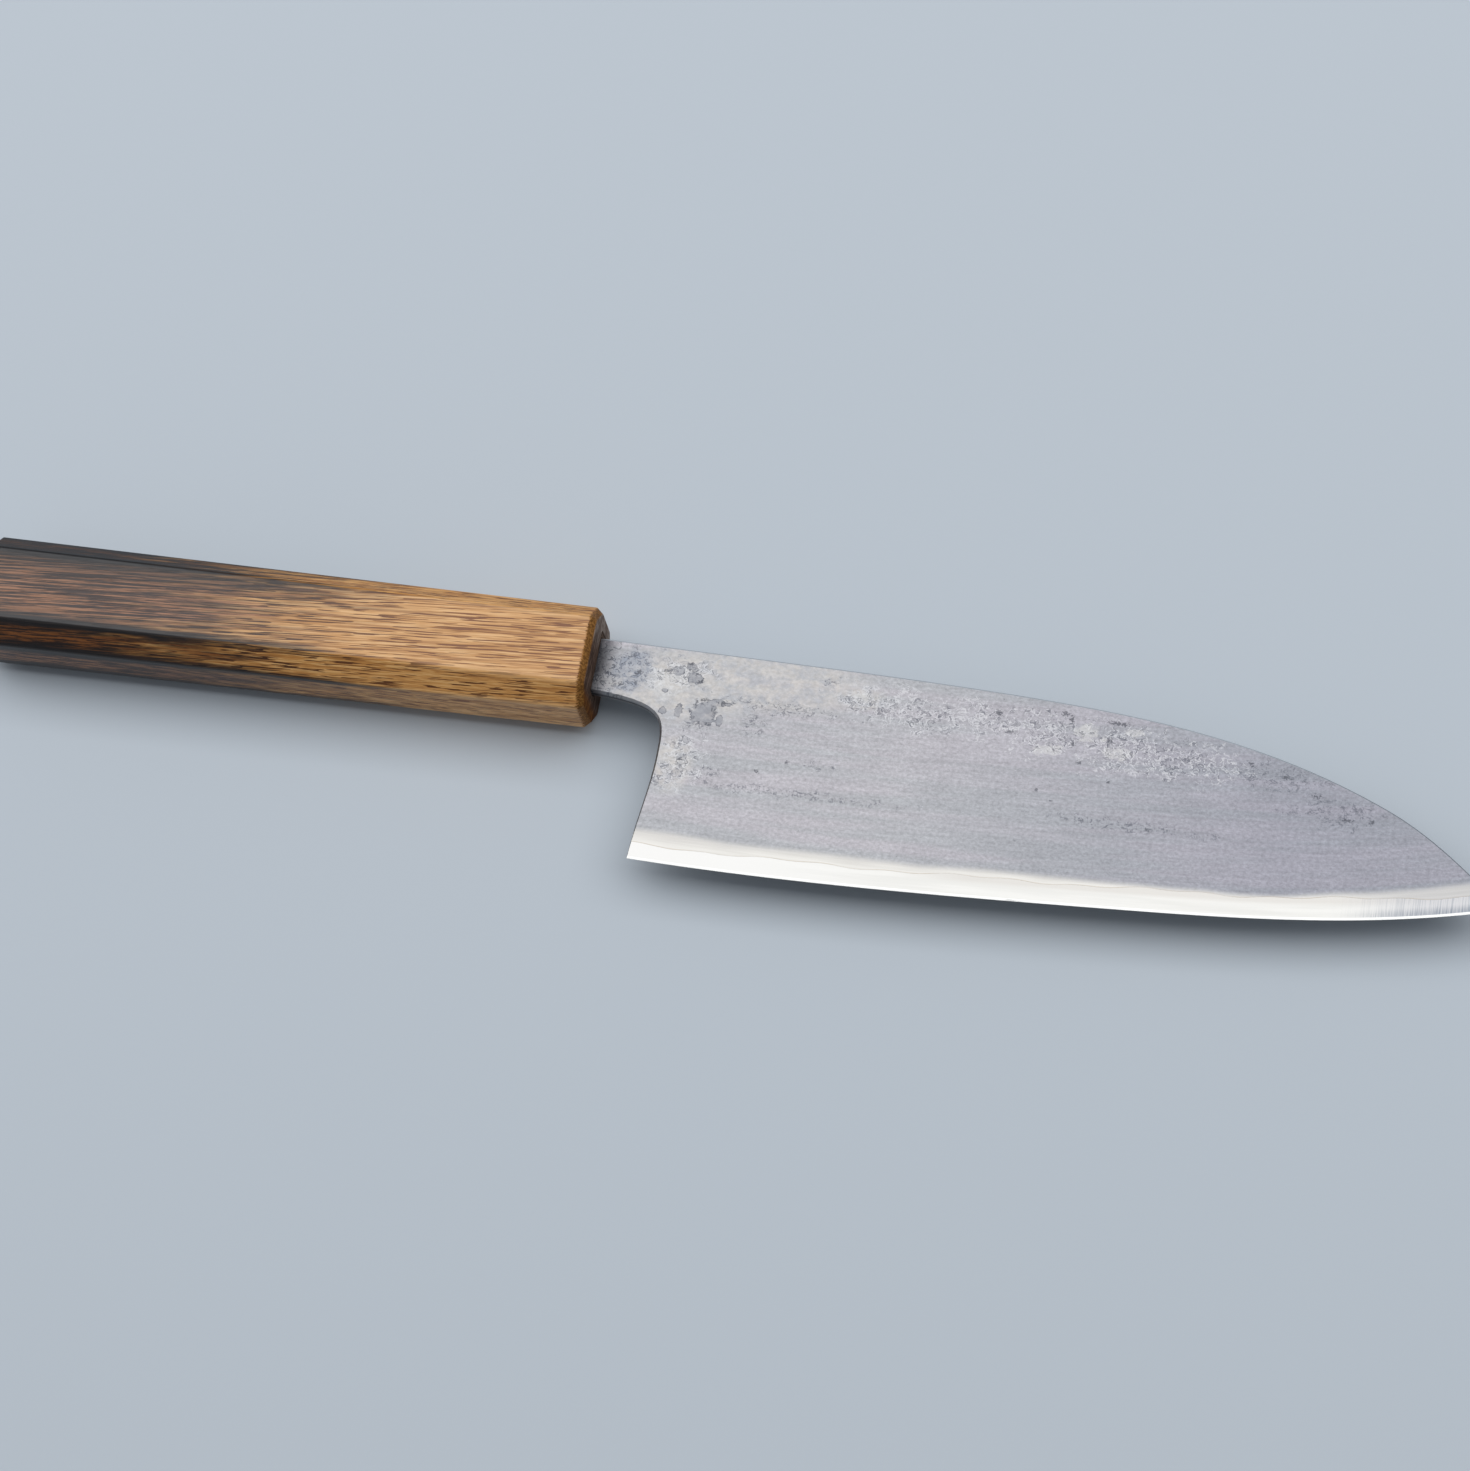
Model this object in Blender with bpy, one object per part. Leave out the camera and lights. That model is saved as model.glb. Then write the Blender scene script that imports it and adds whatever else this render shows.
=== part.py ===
"""A santoku knife: a three-layer blade whose tang is bedded in a one-piece eight-sided handle.

The knife lies on its side. X runs along the handle's axis to the tip, Y points to the spine, and
Z points up out of the blade's right face. The origin is the middle of the handle facet that the
knife lies on. Every solid is drawn with X from the handle's front face, Y from the handle's axis
and Z from the middle of the blade, and is then moved to KNIFE_PLACE.
"""

import math

import bmesh
import bpy
from mathutils import Vector
from mathutils.geometry import interpolate_bezier

# Handle, a bar of eight facets that swells towards the butt.
HANDLE_LENGTH = 0.130
HANDLE_THICKNESS = 0.0188
FRONT_HEIGHT = 0.0225
BUTT_HEIGHT = 0.0243
FRONT_FACET_RISE = 0.0040
BUTT_FACET_RISE = 0.0043
FACET_DEPTH = 0.0046
RIM_LENGTH = 0.0014
RIM_INSET = 0.0012
ARRIS_EASE = 0.0003

# Spine line, seen from the side. Heights are above the handle's axis and drops below it.
SPINE_HEIGHT = 0.0061
SPINE_SLOPE = 0.024
SPINE_BREAK = 0.087
SPINE_BREAK_HEIGHT = 0.0040
SPINE_BREAK_SLOPE = 0.052
SPINE_TURN = 0.159
SPINE_TURN_DROP = 0.0110
SPINE_TURN_SLOPE = 0.473
BLADE_REACH = 0.1822
TIP_DROP = 0.0281
TIP_SPINE_SLOPE = 0.93
TIP_BLUNT = 0.0005

# Cutting edge, from the heel to the tip.
HEEL_REACH = 0.0135
HEEL_DROP = 0.0395
HEEL_EDGE_SLOPE = 0.034
BELLY_REACH = 0.110
BELLY_DROP = 0.0375
BELLY_SLOPE = 0.050
TIP_EDGE_SLOPE = 0.28

# Underside of the neck and the choil, the hollow between the neck and the heel.
NECK_DROP = 0.0056
NECK_PULL = 0.0160
NECK_FALL = 0.0010
CHOIL_REACH = 0.0155
CHOIL_DROP = 0.0176
CHOIL_UPPER_PULL = 0.0080
CHOIL_LOWER_PULL = 0.0065
HEEL_PULL = 0.0092
HEEL_LEAN = 0.0005
CHOIL_EASE = 0.00045

# Blade thickness: flat ground faces, then the ground bevel and the honed edge.
SPINE_THICKNESS = 0.0030
SHOULDER_THICKNESS = 0.0011
TIP_THICKNESS = 0.0008
BEVEL_HEIGHT = 0.0058
HONE_HEIGHT = 0.00045
HONE_THICKNESS = 0.00030
EDGE_THICKNESS = 0.00008
SPINE_EASE = 0.00035
CORE_THICKNESS = 0.00068
WELD_GAP = 0.00002

# Forging leaves the core a little uneven, so its line along the bevel waves: a swell and a ripple.
SWELL_HEIGHT = 0.000014
SWELL_LENGTH = 0.036
RIPPLE_HEIGHT = 0.000010
RIPPLE_LENGTH = 0.0123

# Tang, from just in front of the handle to its end in the bore.
TANG_LENGTH = 0.096
TANG_START = 0.0010
TANG_END_WIDTH = 0.0050
TANG_END_THICKNESS = 0.0022
MACHI_DEPTH = 0.0015
MACHI_STEP = 0.0010

# Bedding round the tang.
FIT_GAP = 0.0003
BEDDING_WALL = 0.0008

# Near the tip the ground strips narrow to these shares of the blade's height.
TIP_EASE_SHARE = 0.20
TIP_BEVEL_SHARE = 0.75
TIP_HONE_SHARE = 0.40

# No eased corner takes more than this share of half the thickness.
EASE_LIMIT = 0.45

# How finely curves are drawn.
BLADE_STATIONS = 56
WELD_STATIONS = 140
TIP_CROWDING = 1.5
CHOIL_STEPS = 14
CORNER_STEPS = 4
SMOOTH_ANGLE = math.radians(30)

# How far guides reach past what they cut.
TRIM_MARGIN = 0.010

KNIFE_PLACE = Vector((HANDLE_LENGTH / 2, 0, HANDLE_THICKNESS / 2))

# Sections of the tang, as the bottom, the top and half the thickness.
NECK = (-NECK_DROP, SPINE_HEIGHT, SPINE_THICKNESS / 2)
BELOW_MACHI = (-NECK_DROP, SPINE_HEIGHT - MACHI_STEP, SPINE_THICKNESS / 2)
TANG_END = (-TANG_END_WIDTH / 2, TANG_END_WIDTH / 2, TANG_END_THICKNESS / 2)


def clear_scene():
    for item in list(bpy.data.objects):
        bpy.data.objects.remove(item)


def material(name, colour, roughness, metallic):
    made = bpy.data.materials.new(name)
    made.use_nodes = True
    shader = made.node_tree.nodes["Principled BSDF"]
    shader.inputs["Base Color"].default_value = (*colour, 1)
    shader.inputs["Roughness"].default_value = roughness
    shader.inputs["Metallic"].default_value = metallic
    made.diffuse_color = (*colour, 1)
    return made


def loft(name, rings):
    """A closed solid through rings of points, each ring with the same number of points."""
    shape = bmesh.new()
    loops = [[shape.verts.new(point) for point in ring] for ring in rings]
    count = len(rings[0])
    for near, far in zip(loops, loops[1:]):
        for i in range(count):
            j = (i + 1) % count
            shape.faces.new((near[i], near[j], far[j], far[i]))
    shape.faces.new(loops[0])
    shape.faces.new(loops[-1])
    bmesh.ops.recalc_face_normals(shape, faces=shape.faces)
    mesh = bpy.data.meshes.new(name)
    shape.to_mesh(mesh)
    shape.free()
    return mesh


def place_guide(name, mesh):
    """An object that only cuts."""
    guide = bpy.data.objects.new(name, mesh)
    guide.location = KNIFE_PLACE
    guide.hide_render = True
    guide.display_type = "WIRE"
    bpy.context.collection.objects.link(guide)
    return guide


def place_piece(name, mesh, surface):
    piece = bpy.data.objects.new(name, mesh)
    piece.location = KNIFE_PLACE
    bpy.context.collection.objects.link(piece)
    mesh.materials.append(surface)
    mesh.shade_smooth()
    mesh.set_sharp_from_angle(angle=SMOOTH_ANGLE)
    return piece


def cut(item, guide, operation):
    step = item.modifiers.new(guide.name, "BOOLEAN")
    step.operation = operation
    step.solver = "EXACT"
    step.object = guide


def cubic(x, start, end):
    """Height at x of the curve between two ends, each given as its x, height and slope."""
    span = end[0] - start[0]
    t = (x - start[0]) / span
    rise = (3 - 2 * t) * t * t
    leave = t * (1 - t) ** 2 * span * start[2]
    arrive = t * t * (t - 1) * span * end[2]
    return start[1] + (end[1] - start[1]) * rise + leave + arrive


def spine_at(x):
    """Height of the spine at x."""
    middle = (SPINE_BREAK, SPINE_BREAK_HEIGHT, -SPINE_BREAK_SLOPE)
    turn = (SPINE_TURN, -SPINE_TURN_DROP, -SPINE_TURN_SLOPE)
    if x <= 0:
        return SPINE_HEIGHT
    if x < SPINE_BREAK:
        return cubic(x, (0, SPINE_HEIGHT, -SPINE_SLOPE), middle)
    if x < SPINE_TURN:
        return cubic(x, middle, turn)
    return cubic(x, turn, (BLADE_REACH, -TIP_DROP, -TIP_SPINE_SLOPE))


def edge_at(x):
    """Height of the cutting edge at x, carried straight on behind the heel."""
    belly = (BELLY_REACH, -BELLY_DROP, BELLY_SLOPE)
    if x < HEEL_REACH:
        return -HEEL_DROP + HEEL_EDGE_SLOPE * (HEEL_REACH - x)
    if x < BELLY_REACH:
        return cubic(x, (HEEL_REACH, -HEEL_DROP, -HEEL_EDGE_SLOPE), belly)
    return cubic(x, belly, (BLADE_REACH, -TIP_DROP, TIP_EDGE_SLOPE))


def face_slopes():
    """How fast the flat faces thin towards the tip and towards the edge."""
    heel_fall = SPINE_HEIGHT + HEEL_DROP - BEVEL_HEIGHT
    tip_fall = SPINE_HEIGHT + TIP_DROP
    heel_loss = SPINE_THICKNESS - SHOULDER_THICKNESS
    tip_loss = SPINE_THICKNESS - TIP_THICKNESS
    scale = HEEL_REACH * tip_fall - BLADE_REACH * heel_fall
    to_tip = (heel_loss * tip_fall - tip_loss * heel_fall) / scale
    to_edge = (HEEL_REACH * tip_loss - BLADE_REACH * heel_loss) / scale
    return to_tip, to_edge


TO_TIP, TO_EDGE = face_slopes()


def face_half(x, y):
    """Half the thickness between the flat faces."""
    return (SPINE_THICKNESS - TO_TIP * x - TO_EDGE * (SPINE_HEIGHT - y)) / 2


def half_thickness(x, y):
    """Half the blade's thickness at a point: the flat face, the bevel or the honed edge."""
    up = max(y - edge_at(x), 0)
    if up < HONE_HEIGHT:
        return (EDGE_THICKNESS + (HONE_THICKNESS - EDGE_THICKNESS) * up / HONE_HEIGHT) / 2
    shoulder = face_half(x, edge_at(x) + BEVEL_HEIGHT)
    share = (up - HONE_HEIGHT) / (BEVEL_HEIGHT - HONE_HEIGHT)
    bevel = HONE_THICKNESS / 2 + (shoulder - HONE_THICKNESS / 2) * share
    return min(bevel, face_half(x, y))


def tang_share(x):
    """How much of the full thickness is left at x, which falls along the tang."""
    if x >= TANG_START:
        return 1
    along = (TANG_START - x) / (TANG_START + TANG_LENGTH)
    return 1 - (1 - TANG_END_THICKNESS / SPINE_THICKNESS) * along


def blade_ring(x):
    """Cross-section of the blade at x: down the right face to the edge, and back up the left."""
    top = spine_at(x)
    bottom = edge_at(x)
    height = top - bottom
    ease = min(SPINE_EASE, TIP_EASE_SHARE * height)
    shoulder = min(BEVEL_HEIGHT, TIP_BEVEL_SHARE * height)
    hone = min(HONE_HEIGHT, TIP_HONE_SHARE * height)
    rows = [top - ease, bottom + shoulder, bottom + hone, bottom]
    halves = [half_thickness(x, y) * tang_share(x) for y in rows]
    rows.insert(0, top)
    halves.insert(0, halves[0] - min(ease, EASE_LIMIT * halves[0]))
    right = [Vector((x, y, half)) for y, half in zip(rows, halves)]
    left = [Vector((x, y, -half)) for y, half in zip(rows, halves)]
    return right + left[::-1]


def blade_stations():
    """Places of the cross-sections, closer together near the tip."""
    span = BLADE_REACH - TIP_BLUNT - TANG_START
    steps = [i / BLADE_STATIONS for i in range(BLADE_STATIONS + 1)]
    blade = [TANG_START + span * (1 - (1 - step) ** TIP_CROWDING) for step in steps]
    return [-TANG_LENGTH - TRIM_MARGIN] + blade


def choil_curve():
    """Underside of the neck, round the choil and down the back of the heel."""
    neck = Vector((0, -NECK_DROP, 0))
    hollow = Vector((CHOIL_REACH, -CHOIL_DROP, 0))
    heel = Vector((HEEL_REACH, -HEEL_DROP, 0))
    neck_pull = neck + Vector((NECK_PULL, -NECK_FALL, 0))
    upper_pull = hollow + Vector((0, CHOIL_UPPER_PULL, 0))
    lower_pull = hollow - Vector((0, CHOIL_LOWER_PULL, 0))
    heel_pull = heel + Vector((HEEL_LEAN, HEEL_PULL, 0))
    upper = interpolate_bezier(neck, neck_pull, upper_pull, hollow, CHOIL_STEPS)
    lower = interpolate_bezier(hollow, lower_pull, heel_pull, heel, CHOIL_STEPS)
    beyond = heel + (heel - heel_pull).normalized() * TRIM_MARGIN
    return upper + lower[1:] + [beyond]


def inward(points, i):
    """Direction into the steel at a point of the choil curve, which runs with steel on its left."""
    before = points[max(i - 1, 0)]
    after = points[min(i + 1, len(points) - 1)]
    along = (after - before).normalized()
    return Vector((-along.y, along.x, 0))


def outline_mesh():
    """Side view of the blank as a prism whose rims are chamfered along the neck and the choil."""
    far = BLADE_REACH + TRIM_MARGIN
    above = SPINE_HEIGHT + TRIM_MARGIN
    below = -HEEL_DROP - TRIM_MARGIN
    choil = choil_curve()
    plain = [
        Vector((far, below, 0)),
        Vector((far, above, 0)),
        Vector((-MACHI_DEPTH, above, 0)),
        Vector((-MACHI_DEPTH, SPINE_HEIGHT - MACHI_STEP, 0)),
        Vector((-TANG_LENGTH, TANG_END_WIDTH / 2, 0)),
        Vector((-TANG_LENGTH, -TANG_END_WIDTH / 2, 0)),
    ]
    chamfer = TRIM_MARGIN / 2
    insets = [inward(choil, i) * chamfer for i in range(len(choil))]
    insets += [Vector((0, 0, 0))] * len(plain)
    outline = []
    for point, inset in zip(choil + plain, insets):
        half = half_thickness(point.x, point.y)
        lip = half - min(CHOIL_EASE, EASE_LIMIT * half)
        outline.append((point, inset, Vector((0, 0, lip)), Vector((0, 0, lip + chamfer))))
    cap = Vector((0, 0, TRIM_MARGIN))
    rings = [
        [point + inset - cap for point, inset, lip, slope in outline],
        [point + inset - slope for point, inset, lip, slope in outline],
        [point - lip for point, inset, lip, slope in outline],
        [point + lip for point, inset, lip, slope in outline],
        [point + inset + slope for point, inset, lip, slope in outline],
        [point + inset + cap for point, inset, lip, slope in outline],
    ]
    return loft("blank_outline", rings)


def weld_height(x):
    """Height of the weld between the core and the right cladding, level in the tang."""
    if x <= 0:
        return CORE_THICKNESS / 2
    swell = SWELL_HEIGHT * math.sin(math.tau * x / SWELL_LENGTH)
    ripple = RIPPLE_HEIGHT * math.sin(math.tau * x / RIPPLE_LENGTH)
    return CORE_THICKNESS / 2 + swell + ripple


def weld_stations():
    """Places along X at which the height of the weld is taken."""
    stations = [BLADE_REACH * i / WELD_STATIONS for i in range(WELD_STATIONS + 1)]
    return [-TANG_LENGTH - TRIM_MARGIN] + stations + [BLADE_REACH + TRIM_MARGIN]


def slab_mesh(name, spans):
    """A layer wider than the blade, from its bottom and top height at each weld station."""
    low = -HEEL_DROP - TRIM_MARGIN
    high = SPINE_HEIGHT + TRIM_MARGIN
    rings = []
    for x, (bottom, top) in zip(weld_stations(), spans):
        corners = [(low, bottom), (high, bottom), (high, top), (low, top)]
        rings.append([Vector((x, y, z)) for y, z in corners])
    return loft(name, rings)


def blade_blank():
    """The whole ground blade with its tang, before it is split into layers."""
    rings = [blade_ring(x) for x in blade_stations()]
    body = place_guide("blade_blank", loft("blade_blank", rings))
    cut(body, place_guide("blank_outline", outline_mesh()), "INTERSECT")
    graph = bpy.context.evaluated_depsgraph_get()
    return bpy.data.meshes.new_from_object(body.evaluated_get(graph))


def blade_layer(name, blank, spans, surface):
    """The part of the blank between two heights, which are given at each weld station."""
    layer = place_piece(name, blank.copy(), surface)
    slab = slab_mesh(name + "_slab", spans)
    cut(layer, place_guide(name + "_slab", slab), "INTERSECT")


def octagon(x, height, rise, inset=0):
    """Section of the handle at x, drawn in by an inset, with a narrow flat on every arris."""
    slant = math.hypot(rise, FACET_DEPTH)
    top = height / 2 - inset
    side = HANDLE_THICKNESS / 2 - inset
    shoulder = top - rise + inset * (FACET_DEPTH + rise - slant) / FACET_DEPTH
    flank = side - FACET_DEPTH + inset * (FACET_DEPTH + rise - slant) / rise
    quarter = [(shoulder, side), (top, flank)]
    across = [(y, -z) for y, z in quarter[::-1]]
    half = quarter + across
    corners = half + [(-y, z) for y, z in half[::-1]]
    points = [Vector((x, y, z)) for y, z in corners]
    ring = []
    for i, corner in enumerate(points):
        for other in (points[i - 1], points[(i + 1) % len(points)]):
            ring.append(corner + (other - corner).normalized() * ARRIS_EASE)
    return ring


def sleeve_ring(x, section, clearance):
    """The tang's section at x grown all round by a clearance, with round corners."""
    bottom, top, half = section
    corners = [(top, half), (top, -half), (bottom, -half), (bottom, half)]
    ring = []
    for quarter, (y, z) in enumerate(corners):
        for i in range(CORNER_STEPS + 1):
            angle = math.pi / 2 * (1 - quarter - i / CORNER_STEPS)
            out_y = clearance * math.cos(angle)
            out_z = clearance * math.sin(angle)
            ring.append(Vector((x, y + out_y, z + out_z)))
    return ring


def sleeve(name, mouth, clearance):
    """The space round the tang, from the mouth sections to past the tang's end."""
    rings = [sleeve_ring(x, section, clearance) for x, section in mouth]
    rings.append(sleeve_ring(-TANG_LENGTH - clearance, TANG_END, clearance))
    return loft(name, rings)


def make_handle(surface):
    rings = [
        octagon(-HANDLE_LENGTH, BUTT_HEIGHT, BUTT_FACET_RISE, RIM_INSET),
        octagon(RIM_LENGTH - HANDLE_LENGTH, BUTT_HEIGHT, BUTT_FACET_RISE),
        octagon(-RIM_LENGTH, FRONT_HEIGHT, FRONT_FACET_RISE),
        octagon(0, FRONT_HEIGHT, FRONT_FACET_RISE, RIM_INSET),
    ]
    handle = place_piece("handle", loft("handle", rings), surface)
    mouth = [(TRIM_MARGIN, NECK), (0, NECK)]
    bore = sleeve("tang_bore", mouth, BEDDING_WALL + 2 * FIT_GAP)
    cut(handle, place_guide("tang_bore", bore), "DIFFERENCE")


def make_tang_bedding(surface):
    filling = sleeve("tang_bedding", [(0, NECK)], BEDDING_WALL + FIT_GAP)
    bedding = place_piece("tang_bedding", filling, surface)
    step = -MACHI_DEPTH - FIT_GAP
    mouth = [(TANG_START, NECK), (step, NECK), (step - FIT_GAP, BELOW_MACHI)]
    pocket = sleeve("tang_pocket", mouth, FIT_GAP)
    cut(bedding, place_guide("tang_pocket", pocket), "DIFFERENCE")


def build():
    clear_scene()
    hard_steel = material("hard core steel", (0.62, 0.62, 0.61), 0.22, 1.0)
    soft_steel = material("soft cladding steel", (0.45, 0.45, 0.47), 0.42, 1.0)
    charred_wood = material("charred oiled oak", (0.36, 0.21, 0.09), 0.48, 0.0)
    resin = material("dark bedding resin", (0.030, 0.022, 0.018), 0.55, 0.0)

    blank = blade_blank()
    weld = [weld_height(x) for x in weld_stations()]
    face = [height + WELD_GAP for height in weld]
    core_spans = [(-height, height) for height in weld]
    right_spans = [(height, SPINE_THICKNESS) for height in face]
    left_spans = [(-SPINE_THICKNESS, -height) for height in face]
    blade_layer("core_steel", blank, core_spans, hard_steel)
    blade_layer("cladding_right", blank, right_spans, soft_steel)
    blade_layer("cladding_left", blank, left_spans, soft_steel)
    make_handle(charred_wood)
    make_tang_bedding(resin)


build()
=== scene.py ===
# %% [markdown]
# # A santoku knife on a pale table
#
# This lesson dresses a finished CAD model of a Japanese kitchen knife for a studio photograph.
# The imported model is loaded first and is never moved. Copies of its solids are then worked over
# as a maker would, and each surface gets a finish that is built from nodes.

import math

import bpy
import numpy as np
from mathutils import Matrix, Vector


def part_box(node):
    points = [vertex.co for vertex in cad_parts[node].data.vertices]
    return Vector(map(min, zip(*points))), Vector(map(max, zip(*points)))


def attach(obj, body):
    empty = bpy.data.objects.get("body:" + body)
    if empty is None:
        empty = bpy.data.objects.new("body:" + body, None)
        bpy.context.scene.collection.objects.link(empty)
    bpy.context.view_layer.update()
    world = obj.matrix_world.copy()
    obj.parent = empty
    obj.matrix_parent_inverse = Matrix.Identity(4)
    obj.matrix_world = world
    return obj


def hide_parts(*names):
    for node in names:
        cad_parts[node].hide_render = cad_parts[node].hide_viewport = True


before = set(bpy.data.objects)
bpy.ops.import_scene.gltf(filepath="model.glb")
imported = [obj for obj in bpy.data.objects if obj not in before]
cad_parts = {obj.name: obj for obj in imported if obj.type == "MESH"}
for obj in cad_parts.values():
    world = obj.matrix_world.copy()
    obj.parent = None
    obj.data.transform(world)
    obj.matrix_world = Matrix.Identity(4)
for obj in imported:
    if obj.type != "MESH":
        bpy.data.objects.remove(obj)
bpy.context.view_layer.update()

# %% [markdown]
# ## Where things are
#
# The knife lies on its side with X along the handle to the tip, Y to the spine and Z up. The
# handle's ends and faces and the tip of the blade could be typed in as numbers, but measuring
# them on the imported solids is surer.

# %% Measure the solids
MM = 0.001
handle_low, handle_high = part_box("handle")
BUTT = handle_low.x
FRONT = handle_high.x
MIDDLE = (handle_low.z + handle_high.z) / 2
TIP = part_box("core_steel")[1].x
print("handle from", round(BUTT, 4), "to", round(FRONT, 4), "and the tip at", round(TIP, 4))

# %% [markdown]
# ## The camera
#
# The photograph looks down on the knife with a longish lens. A camera could be placed by typing
# its location and rotation, but angles round the object are easier to think in: it circles a
# point near the heel at a given azimuth, height and distance, and is rolled a little, which makes
# the knife slope down to the right.

# %% Place the camera
AIM = Vector((0.0953, -0.0110, 0.0094))
AZIMUTH = math.radians(25.82)
ELEVATION = math.radians(66.08)
ROLL = math.radians(-17.15)
DISTANCE = 0.6958
LENS = 85.71
SENSOR = 36.0
NEAREST_SEEN = 10 * MM

bpy.ops.object.camera_add()
camera = bpy.context.object
camera.name = "studio_camera"
camera.data.lens = LENS
camera.data.sensor_width = SENSOR
camera.data.clip_start = NEAREST_SEEN
flat = math.cos(ELEVATION)
away = Vector((math.sin(AZIMUTH) * flat, -math.cos(AZIMUTH) * flat, math.sin(ELEVATION)))
turn = (-away).to_track_quat("-Z", "Y").to_matrix().to_4x4()
roll = Matrix.Rotation(ROLL, 4, "Z")
camera.matrix_world = Matrix.Translation(AIM + away * DISTANCE) @ turn @ roll
bpy.context.scene.camera = camera
print("camera at", [round(value, 4) for value in camera.matrix_world.translation])

# %% [markdown]
# ## Copies to work on
#
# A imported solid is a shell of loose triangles. To work on one, its mesh is copied, the triangles
# are merged at their corners, and those that lie in one plane are dissolved into one face. What
# is left is a clean shape that takes cuts and bevels well.

# %% Copy a solid
WELD_DISTANCE = 0.001 * MM
FLAT_ANGLE = math.radians(0.05)


def copy_of(node, name):
    """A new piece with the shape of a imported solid, left in edit mode."""
    bpy.ops.object.select_all(action="DESELECT")
    piece = bpy.data.objects.new(name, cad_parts[node].data.copy())
    bpy.context.collection.objects.link(piece)
    piece.data.materials.clear()
    bpy.context.view_layer.objects.active = piece
    piece.select_set(True)
    bpy.ops.object.mode_set(mode="EDIT")
    bpy.ops.mesh.select_all(action="SELECT")
    bpy.ops.mesh.remove_doubles(threshold=WELD_DISTANCE)
    bpy.ops.mesh.customdata_custom_splitnormals_clear()
    bpy.ops.mesh.dissolve_limited(angle_limit=FLAT_ANGLE)
    return piece


def points_of(piece):
    """The places of a mesh's points, one row each."""
    places = np.zeros(len(piece.data.vertices) * 3)
    piece.data.vertices.foreach_get("co", places)
    return places.reshape(-1, 3)


# %% [markdown]
# Two more hand moves are used again and again: cutting straight through a piece at evenly spaced
# places, and picking edges by where they lie, which replaces the mouse.

# %% Slice and select


def slice_every(step, low, high, axis):
    """Cuts all faces of the piece in edit mode at every multiple of a step along an axis."""
    across = [1.0 if i == axis else 0.0 for i in range(3)]
    for i in range(math.ceil(low / step), math.floor(high / step) + 1):
        bpy.ops.mesh.select_all(action="SELECT")
        bpy.ops.mesh.bisect(plane_co=[i * step * value for value in across], plane_no=across)


def select_edges(piece, passed):
    """Selects the edges of the piece in edit mode whose two ends are both marked."""
    bpy.ops.mesh.select_mode(type="EDGE")
    bpy.ops.mesh.select_all(action="DESELECT")
    bpy.ops.object.mode_set(mode="OBJECT")
    for edge in piece.data.edges:
        edge.select = bool(passed[edge.vertices[0]] and passed[edge.vertices[1]])
    bpy.ops.object.mode_set(mode="EDIT")


# %% [markdown]
# When its shape is done, a piece is shaded smooth with normals that follow its large faces, so
# that flats stay flat up to their rounded edges. It is then tied to the knife's body and hides
# the solid that it stands for.

# %% Finish a piece
SHARP_ANGLE = math.radians(25)


def finish_piece(piece, node):
    """Leaves edit mode, shades the piece, ties it to the body and hides the solid it stands for."""
    bpy.ops.object.mode_set(mode="OBJECT")
    bpy.ops.object.shade_smooth_by_angle(angle=SHARP_ANGLE)
    bpy.ops.object.modifier_add(type="WEIGHTED_NORMAL")
    piece.modifiers[-1].keep_sharp = True
    bpy.ops.object.modifier_apply(modifier=piece.modifiers[-1].name)
    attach(piece, "root")
    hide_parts(node)
    print(piece.name, len(piece.data.polygons), "faces,", len(piece.data.vertices), "points")


# %% [markdown]
# ## The blade
#
# The blade is a sandwich: a hard core between two soft claddings, forged together and then ground
# to a wedge. Its finishes follow the cutting edge and not the axes, so each point of the blade
# has to know how far above the edge it is. Cuts every two millimetres give the meshes enough
# points to hold that height, which is stored as an attribute that the materials read.

# %% Slice the three layers
STRIP = 2 * MM


def blade_layer(node, name):
    """A layer of the blade in strips, left in object mode."""
    piece = copy_of(node, name)
    slice_every(STRIP, FRONT, TIP, 0)
    bpy.ops.object.mode_set(mode="OBJECT")
    return piece


core = blade_layer("core_steel", "blade_core")
right = blade_layer("cladding_right", "blade_cladding_right")
left = blade_layer("cladding_left", "blade_cladding_left")

# %% Find the edge and the line where the core comes out
TOUCH = 0.002 * MM
HEEL_BAND = 0.5 * MM
KNIFE_SHARP = math.radians(150)


def lower_line(piece):
    """The lowest height of a piece at each cut, from the heel to its far end."""
    places = points_of(piece)
    heel = places[places[:, 1] < places[:, 1].min() + HEEL_BAND][:, 0].min()
    end = places[:, 0].max()
    cuts = [i * STRIP for i in range(math.ceil(heel / STRIP), math.floor(end / STRIP) + 1)]
    stations = [heel] + cuts + [end]
    heights = [places[abs(places[:, 0] - x) < TOUCH][:, 1].min() for x in stations]
    return stations, heights


def sharp_line(piece):
    """The knife-sharp lower border of a piece, as places along it and their heights."""
    bpy.ops.object.select_all(action="DESELECT")
    bpy.context.view_layer.objects.active = piece
    bpy.ops.object.mode_set(mode="EDIT")
    bpy.ops.mesh.select_all(action="DESELECT")
    bpy.ops.mesh.edges_select_sharp(sharpness=KNIFE_SHARP)
    bpy.ops.object.mode_set(mode="OBJECT")
    picked = np.array([point.select for point in piece.data.vertices])
    line = points_of(piece)[picked]
    line = line[np.argsort(line[:, 0])]
    return line[:, 0], line[:, 1]


edge_x, edge_y = lower_line(core)
right_weld = sharp_line(right)
left_weld = sharp_line(left)
print("edge from", round(edge_x[0], 4), "to", round(edge_x[-1], 4))
print("core comes out from", round(right_weld[0][0], 4), "to", round(right_weld[0][-1], 4))

# %% Store the heights on each layer


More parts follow.
